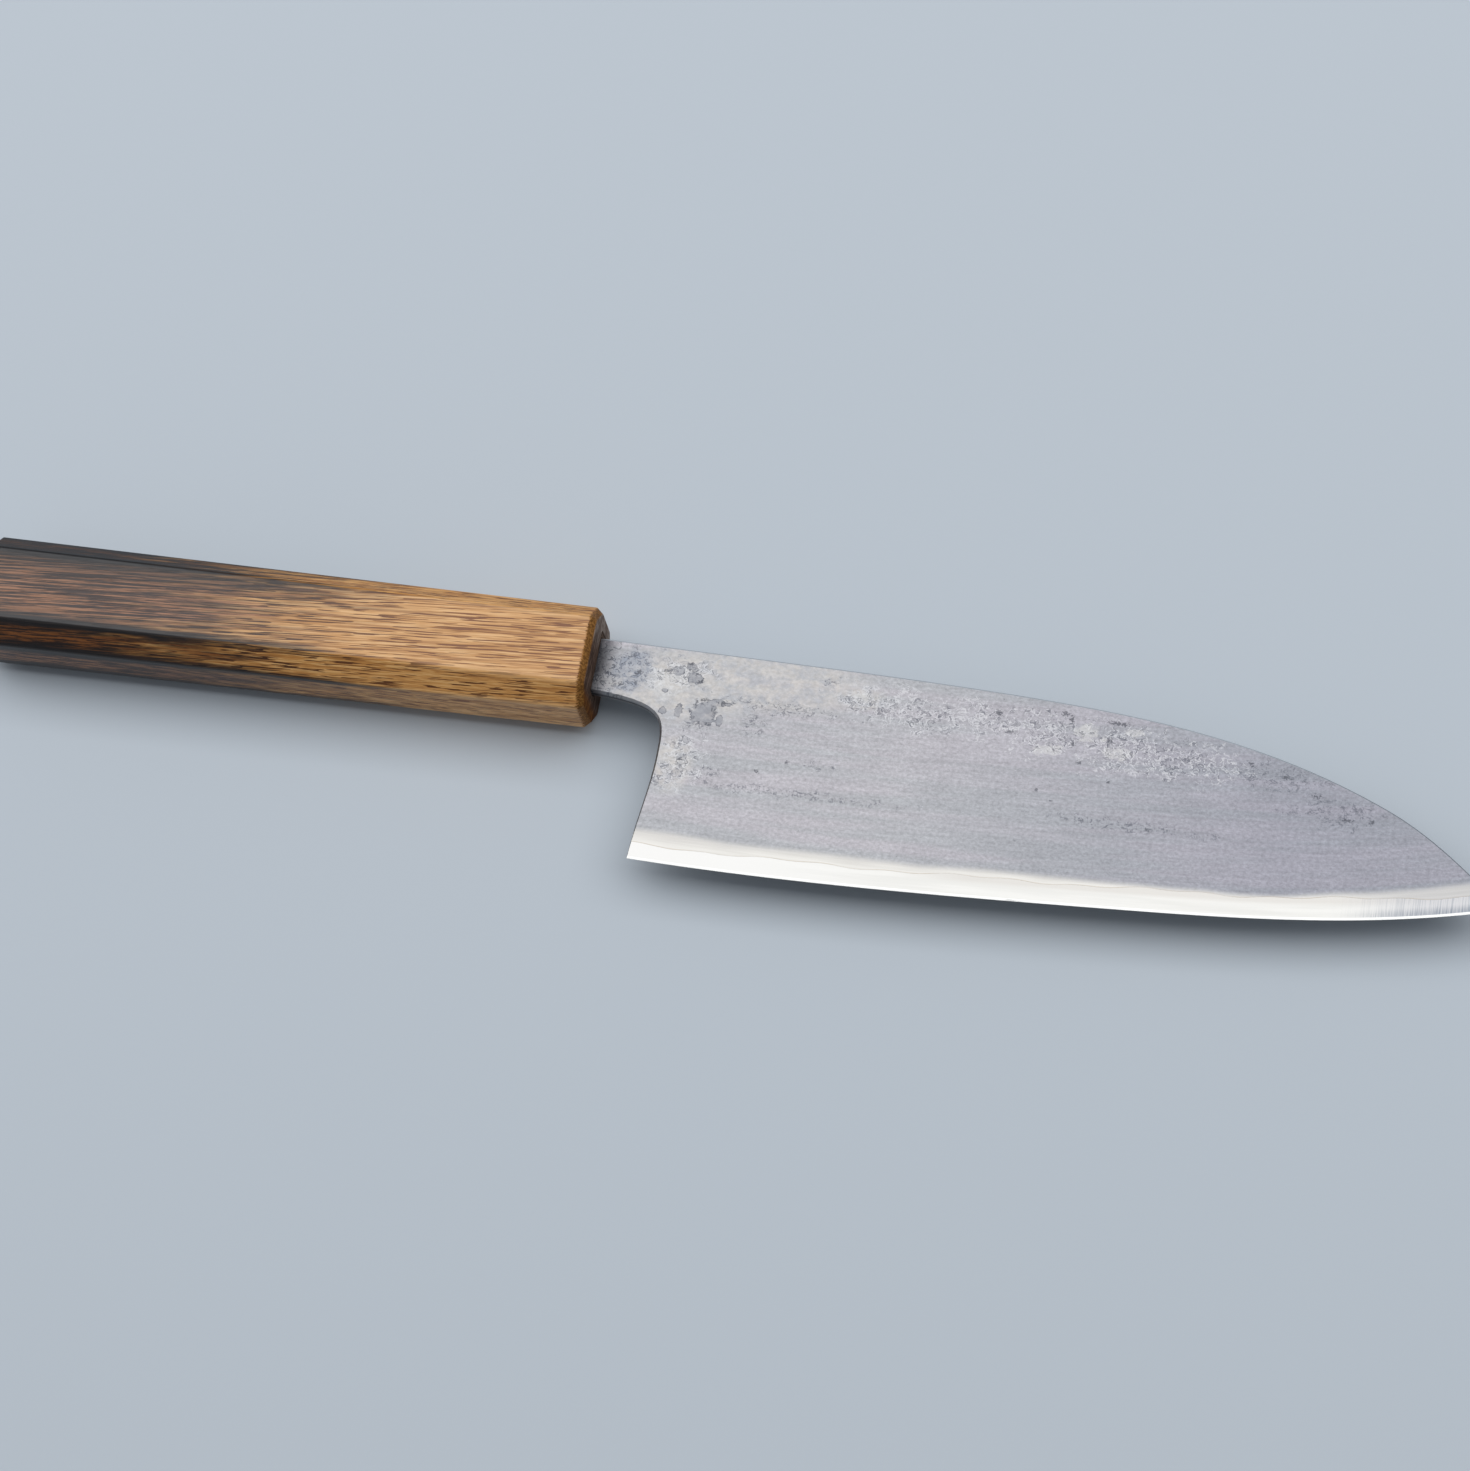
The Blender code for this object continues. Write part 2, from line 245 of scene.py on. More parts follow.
def store(piece, name, values):
    """Stores one number for each point of a piece, in millimetres."""
    values = values / MM
    attribute = piece.data.attributes.new(name, "FLOAT", "POINT")
    attribute.data.foreach_set("value", values.astype(np.float32))
    print(piece.name, name, "from", round(values.min(), 2), "to", round(values.max(), 2), "mm")


def above(piece, line_x, line_y):
    """How far each point of a piece is above a line that runs along the blade."""
    places = points_of(piece)
    return places[:, 1] - np.interp(places[:, 0], line_x, line_y)


for layer, weld, node, slot in (
    (core, right_weld, "core_steel", "core_steel"),
    (right, right_weld, "cladding_right", "cladding_steel"),
    (left, left_weld, "cladding_left", "cladding_steel"),
):
    store(layer, "above_edge", above(layer, edge_x, edge_y))
    store(layer, "above_weld", above(layer, *weld))
    bpy.ops.object.select_all(action="DESELECT")
    bpy.context.view_layer.objects.active = layer
    layer.select_set(True)
    finish_piece(layer, node)

# %% [markdown]
# ## The handle
#
# The handle is one bar of oak with eight facets. The maker planes it, breaks the arrises with a
# few strokes of fine paper and chars it towards the butt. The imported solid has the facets, so its
# arrises only need a small round, which the bevel operator makes. The flame bites deepest at the
# arrises, so each point also stores how far it is from the nearest one.

# %% Find the arrises
# Corners further than this from the axis are on the outside, and the others are in the bore.
SKIN_RADIUS = 9 * MM
# Places count as equal when they agree to a thousandth of a millimetre.
RING_DIGITS = 6

handle = copy_of("handle", "handle_charred_oak")
bpy.ops.object.mode_set(mode="OBJECT")
places = points_of(handle)
on_skin = np.hypot(places[:, 1], places[:, 2] - MIDDLE) > SKIN_RADIUS
ring_x = np.unique(np.round(places[on_skin][:, 0], RING_DIGITS))
print("rings of the handle at", ring_x)


def ring_at(x):
    """The handle's corner points at x, in order round the axis."""
    ring = places[on_skin & (abs(places[:, 0] - x) < TOUCH)]
    return ring[np.argsort(np.arctan2(ring[:, 2] - MIDDLE, ring[:, 1]))]


arris_starts = ring_at(ring_x[1])
arris_ends = ring_at(ring_x[-2])
print(len(arris_starts), "lines along the handle")

# %% Round the arrises and slice the facets
ARRIS_ROUND = 0.12 * MM
ARRIS_SEGMENTS = 2
LONG_STEP = 2 * MM
CROSS_STEP = 1.5 * MM

bpy.ops.object.mode_set(mode="EDIT")
select_edges(handle, on_skin)
bpy.ops.mesh.bevel(offset=ARRIS_ROUND, segments=ARRIS_SEGMENTS, affect="EDGES")
slice_every(LONG_STEP, BUTT, FRONT, 0)
slice_every(CROSS_STEP, handle_low.y, handle_high.y, 1)
slice_every(CROSS_STEP, handle_low.z, handle_high.z, 2)
bpy.ops.object.mode_set(mode="OBJECT")

# %% Store the distance to the nearest arris


def distance_to_lines(points, starts, ends):
    """How far each point is from the nearest of several straight lines."""
    nearest = np.full(len(points), np.inf)
    for start, end in zip(starts, ends):
        along = (end - start) / np.linalg.norm(end - start)
        gap = np.linalg.norm(np.cross(points - start, along), axis=1)
        nearest = np.minimum(nearest, gap)
    return nearest


store(handle, "from_arris", distance_to_lines(points_of(handle), arris_starts, arris_ends))
finish_piece(handle, "handle")

# %% [markdown]
# ## The bedding
#
# The tang is glued into its bore with dark resin, which fills the whole space between wood and
# steel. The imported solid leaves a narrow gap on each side, so the copy is fattened until it
# nearly touches both, and then cut off flush with the handle's front.

# %% Fill the bore with resin
RESIN_SWELL = 0.28 * MM
RESIN_DIP = 0.05 * MM

bedding = copy_of("tang_bedding", "tang_bedding_resin")
bpy.ops.mesh.select_all(action="SELECT")
bpy.ops.transform.shrink_fatten(value=RESIN_SWELL)
bpy.ops.mesh.select_all(action="SELECT")
bpy.ops.mesh.bisect(
    plane_co=(FRONT - RESIN_DIP, 0, 0), plane_no=(1, 0, 0), use_fill=True, clear_outer=True
)
finish_piece(bedding, "tang_bedding")

# %% [markdown]
# ## Tools for materials
#
# Colours are written as sRGB hex values, as a colour picker gives them, and Blender's sockets
# take linear light, so one function turns one into the other. A second function adds a node with
# its settings and links it up. Patterns are drawn in millimetres: a Mapping node of the kind
# "TEXTURE" divides places by its scale, so that scale is the real size of a pattern's blotches.

# %% Colour and node helpers


def colour(hex_value):
    """The linear colour of an sRGB hex value."""
    channels = [int(hex_value[i:i + 2], 16) / 255 for i in (1, 3, 5)]
    linear = [c / 12.92 if c <= 0.04045 else ((c + 0.055) / 1.055) ** 2.4 for c in channels]
    return (*linear, 1.0)


def connect(tree, value, socket):
    """Gives a socket a value, or links it to another socket or to the output of a node."""
    if isinstance(value, bpy.types.Node):
        value = next(output for output in value.outputs if output.enabled)
    if isinstance(value, bpy.types.NodeSocket):
        tree.links.new(value, socket)
    else:
        socket.default_value = value


def add(tree, kind, *inputs, **settings):
    """Adds a node. Inputs fill its sockets in order, and a setting with a capital is a socket."""
    made = tree.nodes.new("ShaderNode" + kind)
    for name, value in settings.items():
        if name[0].islower():
            setattr(made, name, value)
    for value, socket in zip(inputs, [socket for socket in made.inputs if socket.enabled]):
        connect(tree, value, socket)
    for name, value in settings.items():
        if name[0].isupper():
            connect(tree, value, made.inputs[name])
    return made


def new_material(name):
    """A new material: its node tree, its shader and a node that gives places in millimetres."""
    material = bpy.data.materials.new(name)
    material.use_nodes = True
    tree = material.node_tree
    place = add(tree, "TexCoord").outputs["Object"]
    place = add(tree, "Mapping", place, vector_type="TEXTURE", Scale=(MM, MM, MM))
    return material, tree, tree.nodes["Principled BSDF"], place


# %% [markdown]
# ## Forged and ground cladding
#
# The cladding is soft stainless steel. Its face was ground along the blade on a wet wheel, which
# leaves a satin of fine streaks, but the wheel did not reach everywhere: towards the spine and
# the neck some of the forged skin is left, as lighter flecks, grey blotches and small dark pits.
# The neck itself was heated to draw out the tang, and has a faint blue of tempered steel.
# One noise could scatter such places anywhere. Here each is an ellipse, by its middle and its
# half sizes in millimetres, whose border a noise breaks up, because that puts it where the real
# blade has it. Along the edge a finer stone has polished the steel to a creamy band that ends
# softly at the top.

# %% Where the forged skin is light
LIGHT_SKIN = (
    ((83.0, -2.0), (17.0, 8.5)),
    ((100.0, 1.0), (22.0, 7.0)),
    ((119.5, -0.5), (5.0, 2.6)),
    ((84.0, -19.0), (4.4, 6.5)),
)
FLECKS = (
    ((80.0, -0.6), (5.0, 4.0)),
    ((86.0, 1.5), (4.0, 2.6)),
    ((85.0, -18.0), (5.2, 7.0)),
    ((119.0, -1.0), (5.0, 3.6)),
    ((128.0, -2.0), (8.0, 4.6)),
    ((141.0, -1.8), (8.0, 4.0)),
    ((155.0, -3.9), (10.0, 5.2)),
    ((171.0, -4.9), (12.0, 5.2)),
    ((187.5, -6.2), (8.0, 4.2)),
)
BRIGHT = (
    ((164.8, -2.3), (3.0, 1.7)),
    ((170.8, -5.8), (2.9, 1.3)),
    ((173.5, -1.2), (2.0, 0.7)),
    ((157.5, -6.8), (2.4, 1.2)),
    ((119.3, -0.2), (1.7, 1.0)),
    ((79.8, -1.4), (4.6, 3.6)),
)
print(len(LIGHT_SKIN), "skins,", len(FLECKS), "flecked and", len(BRIGHT), "bright places")

# %% Where it is dark
BLOTCHES = (
    ((88.4, -7.6), (2.3, 2.3)),
    ((83.3, -7.4), (0.8, 1.4)),
    ((80.1, -7.8), (0.7, 0.7)),
    ((79.8, -3.6), (0.6, 0.4)),
    ((91.8, -8.6), (0.6, 1.2)),
    ((91.6, -5.0), (2.6, 0.7)),
    ((81.8, 0.9), (1.1, 0.8)),
    ((84.4, 2.1), (1.0, 0.8)),
    ((85.6, -0.3), (1.6, 1.0)),
)
MOTTLES = (
    ((71.5, 1.6), (5.5, 3.6)),
    ((73.6, -1.2), (3.4, 2.6)),
    ((82.5, 0.6), (6.6, 3.6)),
    ((86.2, 1.0), (2.2, 2.0)),
    ((104.0, -4.6), (11.0, 1.6)),
    ((88.0, -10.8), (4.0, 1.4)),
    ((113.4, 2.4), (2.4, 1.3)),
    ((121.0, -2.0), (6.0, 3.0)),
    ((132.0, -2.4), (7.0, 3.4)),
    ((99.0, -8.4), (2.6, 2.2)),
    ((84.8, -14.4), (3.0, 2.2)),
    ((86.0, -18.6), (3.6, 3.6)),
    ((83.0, -21.5), (3.0, 2.4)),
    ((91.0, -19.8), (4.0, 1.7)),
    ((108.0, -22.2), (22.0, 1.1)),
    ((113.0, -16.0), (4.0, 1.1)),
    ((147.0, -1.8), (6.0, 3.4)),
    ((158.0, -3.0), (8.0, 4.2)),
    ((171.0, -4.0), (8.0, 4.4)),
    ((182.0, -5.6), (9.0, 4.4)),
    ((202.0, -7.0), (10.0, 3.6)),
    ((214.0, -13.0), (9.0, 3.0)),
    ((175.0, -20.5), (16.0, 1.4)),
)
PITS = (
    ((73.9, -0.4), (0.6, 0.4)),
    ((70.6, -3.3), (0.5, 0.4)),
    ((79.4, 0.6), (0.6, 0.3)),
    ((84.2, 2.6), (0.5, 0.3)),
    ((86.6, -0.9), (0.5, 0.3)),
    ((86.6, -5.6), (0.3, 0.8)),
    ((88.4, -4.7), (0.9, 0.3)),
    ((91.9, -5.0), (1.0, 0.35)),
    ((106.7, -15.8), (0.4, 0.3)),
    ((101.0, -18.3), (0.3, 0.3)),
    ((85.4, -17.7), (0.3, 0.3)),
    ((156.2, -15.3), (0.3, 0.3)),
    ((159.3, -17.2), (0.3, 0.2)),
    ((169.8, -11.9), (0.4, 0.3)),
    ((146.7, -0.2), (0.6, 0.5)),
    ((149.4, -3.9), (0.7, 0.3)),
    ((159.8, 1.2), (0.8, 0.35)),
    ((161.2, 0.2), (0.4, 0.7)),
    ((162.0, -5.0), (0.4, 0.4)),
    ((163.6, -8.6), (0.5, 0.3)),
    ((170.4, 0.4), (1.9, 0.35)),
    ((169.0, -3.4), (0.5, 0.7)),
    ((178.6, -20.8), (0.4, 0.3)),
    ((196.8, -4.8), (0.4, 0.4)),
    ((203.6, -6.7), (1.0, 0.3)),
    ((210.0, -9.8), (0.8, 0.4)),
    ((216.2, -14.0), (0.9, 0.3)),
    ((220.9, -13.9), (0.4, 0.4)),
)
print(len(BLOTCHES), "blotches,", len(MOTTLES), "mottled places and", len(PITS), "pits")

# %% Distance to the nearest place


def distance_to(tree, place, ellipses):
    """How far places are from the nearest ellipse: 0 at its middle and 1 on its border."""
    nearest = None
    for (x, y), (half_x, half_y) in ellipses:
        moved = add(tree, "VectorMath", place, (x, y, 0), operation="SUBTRACT")
        fitted = add(tree, "VectorMath", moved, (1 / half_x, 1 / half_y, 0), operation="MULTIPLY")
        far = add(tree, "VectorMath", fitted, operation="LENGTH")
        nearest = add(tree, "Math", nearest, far, operation="MINIMUM") if nearest else far
    return nearest


# %% [markdown]
# The patterns that follow the edge are drawn in places whose height is the height above the edge.
# Each noise is stretched to the size of what it stands for: the wheel left broad faint bands and
# clouds, and marks some centimetres long and half a millimetre wide. The scratches of the satin
# between them are too fine to show, so they are drawn as coarse as they need to be, nearly a
# millimetre long.

# %% Ground steel with its skin
material, tree, shader, place = new_material("Stainless steel, forged and wet-ground")
cladding_steel = material
x, y, z = add(tree, "SeparateXYZ", place).outputs
up = add(tree, "Attribute", attribute_name="above_edge").outputs["Fac"]
along = add(tree, "CombineXYZ", x, up, z)

where = add(tree, "Mapping", along, vector_type="TEXTURE", Scale=(60, 3.8, 5))
bands = add(tree, "TexNoise", where, Scale=1, Detail=2)
where = add(tree, "Mapping", along, vector_type="TEXTURE", Scale=(7, 3.2, 5))
haze = add(tree, "TexNoise", where, Scale=1, Detail=3, Roughness=0.6)
where = add(tree, "Mapping", along, vector_type="TEXTURE", Scale=(18, 0.6, 5))
streaks = add(tree, "TexNoise", where, Scale=1, Detail=3, Roughness=0.6)
where = add(tree, "Mapping", place, vector_type="TEXTURE", Scale=(0.8, 0.6, 5))
satin = add(tree, "TexNoise", where, Scale=1, Detail=4, Roughness=0.75)
where = add(tree, "Mapping", place, vector_type="TEXTURE", Scale=(3.4, 2.5, 5))
islands = add(tree, "TexNoise", where, Scale=1, Detail=5, Roughness=0.65, Distortion=0.4)
where = add(tree, "Mapping", place, vector_type="TEXTURE", Scale=(1.0, 0.8, 5))
specks = add(tree, "TexNoise", where, Scale=1, Detail=4, Roughness=0.6, Distortion=0.3)
where = add(tree, "Mapping", place, vector_type="TEXTURE", Scale=(1.5, 1.2, 5))
curls = add(tree, "TexNoise", where, Scale=1, Detail=3, Roughness=0.55, Distortion=0.8)
where = add(tree, "Mapping", place, vector_type="TEXTURE", Scale=(0.42, 0.36, 5))
grit = add(tree, "TexNoise", where, Scale=1, Detail=2)

share = add(tree, "MapRange", bands, 0.38, 0.62, interpolation_type="SMOOTHSTEP")
face = add(tree, "Mix", share, colour("#8A8A8C"), colour("#8D8A8D"), data_type="RGBA")
# The face is painted darker and bluer towards the tip, painted shade where the steel mirrors less
# of the soft box.
share = add(tree, "MapRange", x, 128, 205)
face = add(tree, "Mix", share, face, colour("#E0E2E9"), data_type="RGBA", blend_type="MULTIPLY")
for pattern in (bands, haze):
    share = add(tree, "MapRange", pattern, 0.3, 0.7, 0.95, 1.05)
    face = add(tree, "Mix", 1.0, face, share, data_type="RGBA", blend_type="MULTIPLY")
share = add(tree, "MapRange", streaks, 0.3, 0.7, 0.93, 1.07)
face = add(tree, "Mix", 1.0, face, share, data_type="RGBA", blend_type="MULTIPLY")
share = add(tree, "MapRange", satin, 0.3, 0.7, 0.78, 1.22)
face = add(tree, "Mix", 1.0, face, share, data_type="RGBA", blend_type="MULTIPLY")
print("ground face,", len(tree.nodes), "nodes so far")

# %% Light skin, bright places and blue neck
far = distance_to(tree, place, LIGHT_SKIN)
far = add(tree, "Math", far, islands, operation="ADD")
light = add(tree, "MapRange", far, 1.7, 1.2, interpolation_type="SMOOTHSTEP")
light = add(tree, "Math", light, 0.7, operation="MULTIPLY")
share = add(tree, "MapRange", islands, 0.4, 0.62)
skin = add(tree, "Mix", share, colour("#8E8E90"), colour("#A19C97"), data_type="RGBA")
share = add(tree, "MapRange", specks, 0.35, 0.65, 0.86, 1.12)
skin = add(tree, "Mix", 1.0, skin, share, data_type="RGBA", blend_type="MULTIPLY")
face = add(tree, "Mix", light, face, skin, data_type="RGBA")
wobble = add(tree, "MapRange", islands, 0.3, 0.7, -0.75, 0.75)
far = distance_to(tree, place, BRIGHT)
far = add(tree, "Math", far, wobble, operation="ADD")
bright = add(tree, "MapRange", far, 1.15, 0.7, 0.0, 0.65, interpolation_type="SMOOTHSTEP")
broken = add(tree, "MapRange", specks, 0.36, 0.55, 0.5, 1.0)
bright = add(tree, "Math", bright, broken, operation="MULTIPLY")
face = add(tree, "Mix", bright, face, colour("#A2A09E"), data_type="RGBA")

HEATED = (((72.6, 0.2), (5.4, 5.4)),)
far = distance_to(tree, place, HEATED)
far = add(tree, "Math", far, islands, operation="ADD")
blue = add(tree, "MapRange", far, 1.6, 0.9, 0.0, 0.7, interpolation_type="SMOOTHSTEP")
clouds = add(tree, "MapRange", curls, 0.35, 0.65, 0.3, 1.0)
blue = add(tree, "Math", blue, clouds, operation="MULTIPLY")
face = add(tree, "Mix", blue, face, colour("#6C737F"), data_type="RGBA")
print("light skin and blue neck,", len(tree.nodes), "nodes so far")

# %% Flecks and dark mottles
far = distance_to(tree, place, FLECKS)
far = add(tree, "Math", far, wobble, operation="ADD")
inside = add(tree, "MapRange", far, 1.15, 0.55, interpolation_type="SMOOTHSTEP")
ridge = add(tree, "Math", curls, 0.5, operation="SUBTRACT")
ridge = add(tree, "Math", ridge, operation="ABSOLUTE")
fleck = add(tree, "MapRange", ridge, 0.045, 0.01, interpolation_type="SMOOTHSTEP")
fleck = add(tree, "Math", fleck, inside, operation="MULTIPLY")
weight = add(tree, "Math", fleck, 0.55, operation="MULTIPLY")
face = add(tree, "Mix", weight, face, colour("#B0AFB0"), data_type="RGBA")

far = distance_to(tree, place, MOTTLES)
far = add(tree, "Math", far, wobble, operation="ADD")
inside = add(tree, "MapRange", far, 1.2, 0.5, interpolation_type="SMOOTHSTEP")
groove = add(tree, "Math", curls, 0.58, operation="SUBTRACT")
groove = add(tree, "Math", groove, operation="ABSOLUTE")
groove = add(tree, "MapRange", groove, 0.05, 0.01, interpolation_type="SMOOTHSTEP")
broken = add(tree, "MapRange", specks, 0.36, 0.52)
mottle = add(tree, "Math", groove, broken, operation="MULTIPLY")
dots = add(tree, "MapRange", grit, 0.58, 0.7)
mottle = add(tree, "Math", mottle, dots, operation="MAXIMUM")
mottle = add(tree, "Math", mottle, inside, operation="MULTIPLY")
weight = add(tree, "Math", mottle, 0.75, operation="MULTIPLY")
face = add(tree, "Mix", weight, face, colour("#4E4F56"), data_type="RGBA")
print("flecks and mottles,", len(tree.nodes), "nodes so far")

# %% Blotches and pits
far = distance_to(tree, place, BLOTCHES)
wobble = add(tree, "MapRange", islands, 0.3, 0.7, -0.3, 0.3)
far = add(tree, "Math", far, wobble, operation="ADD")
rough_edge = add(tree, "MapRange", specks, 0.3, 0.7, -0.3, 0.3)
far = add(tree, "Math", far, rough_edge, operation="ADD")
blotch = add(tree, "MapRange", far, 1.15, 1.0, interpolation_type="SMOOTHSTEP")
weight = add(tree, "MapRange", curls, 0.35, 0.65, 0.8, 0.35)
weight = add(tree, "Math", blotch, weight, operation="MULTIPLY")
face = add(tree, "Mix", weight, face, colour("#6E6F74"), data_type="RGBA")
border = add(tree, "Math", far, 1.0, 0.12, operation="COMPARE")
weight = add(tree, "MapRange", curls, 0.4, 0.6, 0.7, 0.0)
weight = add(tree, "Math", weight, border, operation="MULTIPLY")
face = add(tree, "Mix", weight, face, colour("#45464C"), data_type="RGBA")

far = distance_to(tree, place, PITS)
rough_edge = add(tree, "MapRange", grit, 0.35, 0.65, -0.9, 0.9)
far = add(tree, "Math", far, rough_edge, operation="ADD")
sunk = add(tree, "MapRange", far, 1.3, 0.5, 0.0, 0.7, interpolation_type="SMOOTHSTEP")
pits = add(tree, "MapRange", specks, 0.68, 0.74, 0.0, 0.5, interpolation_type="SMOOTHSTEP")
pits = add(tree, "Math", pits, sunk, operation="MAXIMUM")
face = add(tree, "Mix", pits, face, colour("#3B3C42"), data_type="RGBA")
print("blotches and pits,", len(tree.nodes), "nodes so far")

# %% [markdown]
# The neck is darker in the last millimetres before the wood, and in the cracks of its skin. The
# polished band and the fine tan line where the core comes out go on top of everything else. The
# rounded arris of the spine is painted bright, a painted highlight on the faces turned to the
# spine.

# %% Darker neck by the wood
# Where the handle ends in front, in the millimetres that the patterns are drawn in.
WOOD_FRONT = FRONT / MM

cracks = add(tree, "MapRange", x, WOOD_FRONT + 10, WOOD_FRONT + 2, 0.0, 0.8)
cracks = add(tree, "Math", cracks, groove, operation="MULTIPLY")
face = add(tree, "Mix", cracks, face, colour("#3C3E45"), data_type="RGBA")
near_wood = (WOOD_FRONT + 5, WOOD_FRONT - 0.2)
# The neck is drawn darker over its last five millimetres before the wood, less on its lower part.
dark = add(tree, "MapRange", x, *near_wood, interpolation_type="SMOOTHSTEP")
clouds = add(tree, "MapRange", curls, 0.3, 0.7, 1.0, 0.5)
dark_by_wood = add(tree, "Math", dark, clouds, operation="MULTIPLY")
share = add(tree, "MapRange", y, -4.5, -1.0, 0.45, 1.0)
dark_by_wood = add(tree, "Math", dark_by_wood, share, operation="MULTIPLY")
face = add(tree, "Mix", dark_by_wood, face, colour("#3A393E"), data_type="RGBA")
print("soot,", len(tree.nodes), "nodes so far")

# %% Polished band
where = add(tree, "Mapping", along, vector_type="TEXTURE", Scale=(26, 60, 5))
sweep = add(tree, "TexNoise", where, Scale=1, Detail=2)
top = add(tree, "MapRange", sweep, 0.3, 0.7, 5.15, 5.85)
heel_rise = add(tree, "MapRange", x, 150, 85, 0.0, 0.5, interpolation_type="SMOOTHSTEP")
belly_dip = add(tree, "MapRange", x, 160, 200, 0.0, -1.0, interpolation_type="SMOOTHSTEP")
tip_rise = add(tree, "MapRange", x, 208, 243, 0.0, 1.8)
top = add(tree, "Math", top, heel_rise, operation="ADD")
top = add(tree, "Math", top, belly_dip, operation="ADD")
top = add(tree, "Math", top, tip_rise, operation="ADD")
below = add(tree, "Math", top, up, operation="SUBTRACT")
polish = add(tree, "MapRange", below, -0.95, 0.75, interpolation_type="SMOOTHSTEP")
weld = add(tree, "Attribute", attribute_name="above_weld").outputs["Fac"]
near = add(tree, "MapRange", weld, 2.2, 0.1, interpolation_type="SMOOTHSTEP")
share = add(tree, "MapRange", x, 125, 145)
upper = add(tree, "Mix", share, colour("#9D9A96"), colour("#928F8B"), data_type="RGBA")
cream = add(tree, "Mix", near, upper, colour("#A9A6A1"), data_type="RGBA")
# Near the tip the band is painted greyer, painted shade where the curving edge turns it away from
# the soft box.
share = add(tree, "MapRange", x, 205, 234, interpolation_type="SMOOTHSTEP")
cream = add(tree, "Mix", share, cream, colour("#949290"), data_type="RGBA")
share = add(tree, "MapRange", streaks, 0.3, 0.7, 0.95, 1.05)
cream = add(tree, "Mix", 1.0, cream, share, data_type="RGBA", blend_type="MULTIPLY")
face = add(tree, "Mix", polish, face, cream, data_type="RGBA")
line = add(tree, "MapRange", weld, 0.25, 0.05, 0.0, 0.4, interpolation_type="SMOOTHSTEP")
broken = add(tree, "MapRange", streaks, 0.4, 0.6, 0.2, 1.0)
line = add(tree, "Math", line, broken, operation="MULTIPLY")
face = add(tree, "Mix", line, face, colour("#84755F"), data_type="RGBA")
rough = add(tree, "Mix", polish, 0.40, 0.24, data_type="FLOAT")
print("polished band,", len(tree.nodes), "nodes so far")

# %% Painted spine highlight and relief
# Faces turned towards the spine are painted light, a painted highlight along its rounded arris,
# fainter near the tip.
facing = add(tree, "SeparateXYZ", add(tree, "NewGeometry").outputs["Normal"]).outputs["Y"]
spine_highlight = add(tree, "MapRange", facing, 0.15, 0.5)
share = add(tree, "MapRange", x, 232, 195, 0.2, 0.8)
spine_highlight = add(tree, "Math", spine_highlight, share, operation="MULTIPLY")
face = add(tree, "Mix", spine_highlight, face, colour("#D8DADC"), data_type="RGBA")

rise = add(tree, "Math", satin, streaks, operation="ADD")
low = add(tree, "Math", pits, mottle, operation="ADD")
rise = add(tree, "Math", rise, low, operation="SUBTRACT")
rise = add(tree, "Math", rise, fleck, operation="ADD")
quiet = add(tree, "MapRange", polish, 0.0, 1.0, 1.0, 0.1)
rise = add(tree, "Math", rise, quiet, operation="MULTIPLY")
bump = add(tree, "Bump", Height=rise, Strength=0.5, Distance=0.012 * MM)
shader.inputs["Metallic"].default_value = 1.0
connect(tree, face, shader.inputs["Base Color"])
connect(tree, rough, shader.inputs["Roughness"])
connect(tree, bump, shader.inputs["Normal"])
for layer in (right, left):
    layer.data.materials.append(cladding_steel)
print(cladding_steel.name, len(tree.nodes), "nodes")

# %% [markdown]
# ## The core
#
# The core is hard carbon-rich steel and comes out below the cladding. It has the finest polish of
# all and looks nearly white, a little warmer at its upper border. Near the tip the stone ran
# across the edge and left short upright scratches, and the last half millimetre is the honed
# edge itself. At the spine and the choil the core is only filed, so there it is grey, and low in
# the notch behind the heel that grey is painted darker, painted shade in the recess. All of this
# could be split into several materials, but the borders are soft, so one material fades from one
# finish to the next by the height above the edge.

# %% Polished core
material, tree, shader, place = new_material("High-carbon steel, stone-polished")
x, y, z = add(tree, "SeparateXYZ", place).outputs
up = add(tree, "Attribute", attribute_name="above_edge").outputs["Fac"]
along = add(tree, "CombineXYZ", x, up, z)
where = add(tree, "Mapping", along, vector_type="TEXTURE", Scale=(34, 1.6, 5))
sheen = add(tree, "TexNoise", where, Scale=1, Detail=3)
share = add(tree, "MapRange", sheen, 0.35, 0.65, interpolation_type="SMOOTHSTEP")
band = add(tree, "Mix", share, colour("#A9A7A3"), colour("#AFADA9"), data_type="RGBA")
where = add(tree, "Mapping", along, vector_type="TEXTURE", Scale=(0.28, 9, 5))
strokes = add(tree, "TexNoise", where, Scale=1, Detail=3, Roughness=0.6)
# Towards the heel the core is painted lighter, a painted highlight where it mirrors the brightest
# part of the soft box.
share = add(tree, "MapRange", x, 130, 100)
band = add(tree, "Mix", share, band, colour("#B0AEAB"), data_type="RGBA")
border = add(tree, "MapRange", up, 2.5, 3.8, 0.0, 0.75, interpolation_type="SMOOTHSTEP")
share = add(tree, "MapRange", x, 130, 145)
border = add(tree, "Math", border, share, operation="MULTIPLY")
band = add(tree, "Mix", border, band, colour("#A19D98"), data_type="RGBA")
print("polished core,", len(tree.nodes), "nodes so far")

# %% Scratches near the tip, honed edge and filed spine
near_tip = add(tree, "MapRange", x, 214, 236, interpolation_type="SMOOTHSTEP")
